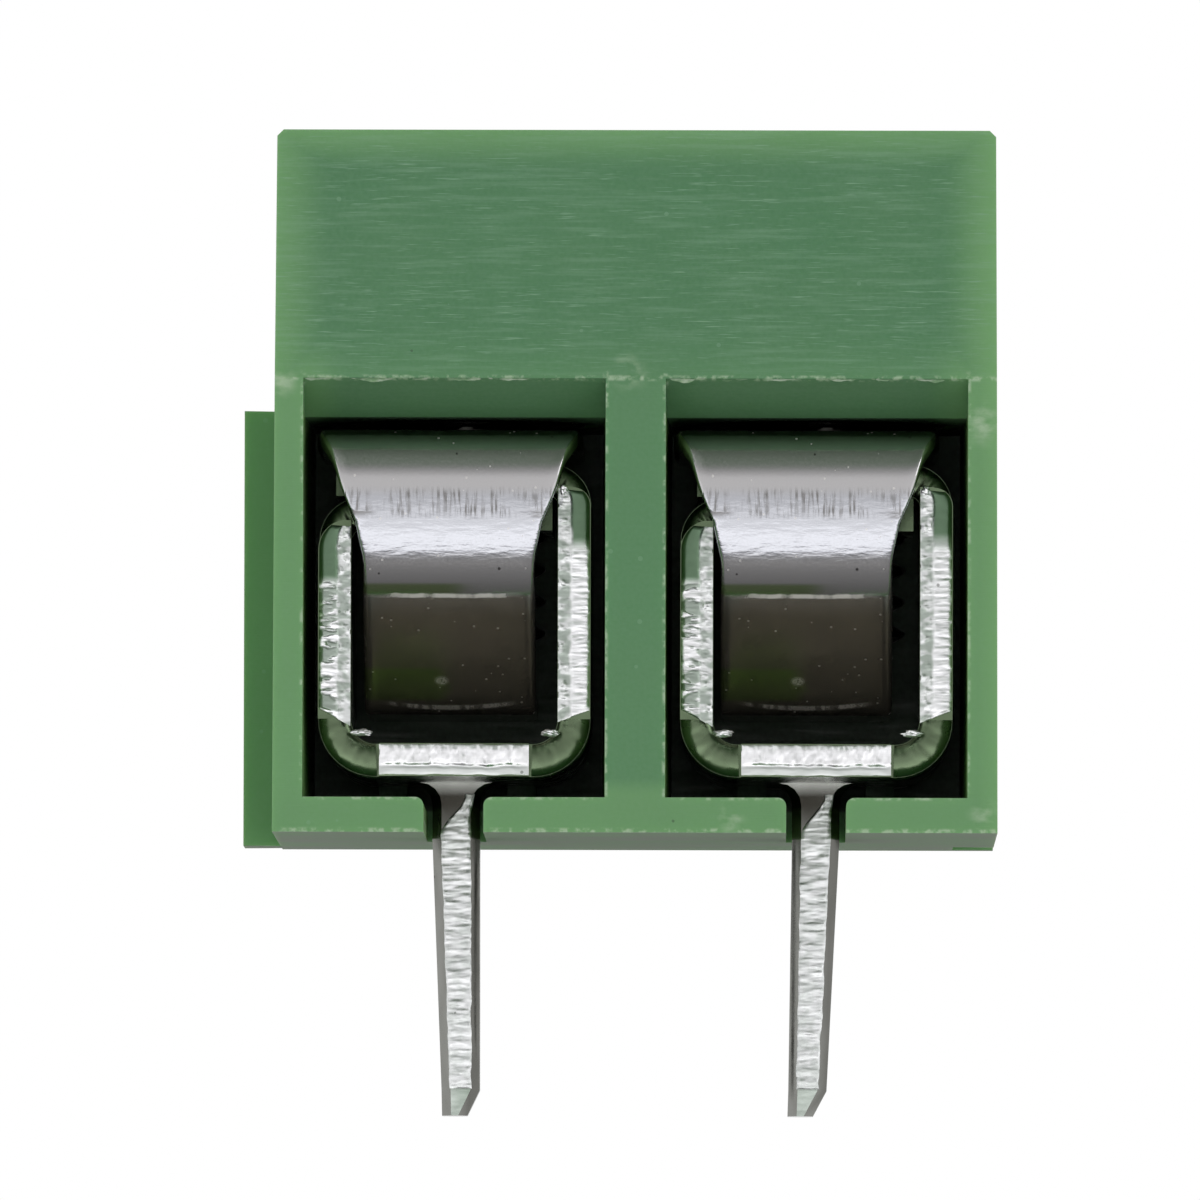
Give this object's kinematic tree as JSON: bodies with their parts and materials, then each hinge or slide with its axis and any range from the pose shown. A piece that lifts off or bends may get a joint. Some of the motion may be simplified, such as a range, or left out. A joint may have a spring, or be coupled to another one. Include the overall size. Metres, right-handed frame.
{
  "type": "pcb screw terminal",
  "caption": "Low green screw terminal block for a circuit board, with wire entries on one side, screws on top, spring wire guards and solder pins.",
  "frame": {"origin": "on the board's surface under the body, midway between the poles, on the line of the pins and the screws", "axes": "+X along the poles, -Y towards the side the wires enter, +Z away from the board, pins down"},
  "size_m": [0.0107, 0.0076, 0.0138],
  "materials": {
    "green_plastic": "satin",
    "tinned_brass": "satin",
    "spring_steel": "gloss",
    "plated_steel": "gloss"
  },
  "bodies": {
    "base": {"housing": "green_plastic", "cage_1": "tinned_brass", "cage_2": "tinned_brass"},
    "guard_1": {"wire_guard_1": "spring_steel"},
    "turning_screw_1": {"screw_1": "plated_steel"},
    "guard_2": {"wire_guard_2": "spring_steel"},
    "turning_screw_2": {"screw_2": "plated_steel"}
  },
  "joints": [
    {"name": "guard_lift_1", "type": "slide", "parent": "base", "child": "guard_1", "axis": [0, 0, 1], "range_m": [0, 0.0018], "deforming": ["wire_guard_1"]},
    {"name": "screw_turn_1", "type": "hinge", "parent": "guard_1", "child": "turning_screw_1", "pos_m": [-0.00254, 0, 0.006], "axis": [0, 0, 1], "range_deg": [0, 1440]},
    {"name": "guard_lift_2", "type": "slide", "parent": "base", "child": "guard_2", "axis": [0, 0, 1], "range_m": [0, 0.0018], "deforming": ["wire_guard_2"]},
    {"name": "screw_turn_2", "type": "hinge", "parent": "guard_2", "child": "turning_screw_2", "pos_m": [0.00254, 0, 0.006], "axis": [0, 0, 1], "range_deg": [0, 1440]}
  ],
  "couplings": [
    {"joint": "screw_turn_1", "follows": "guard_lift_1", "rad_per_m": 13963},
    {"joint": "screw_turn_2", "follows": "guard_lift_2", "rad_per_m": 13963}
  ]
}
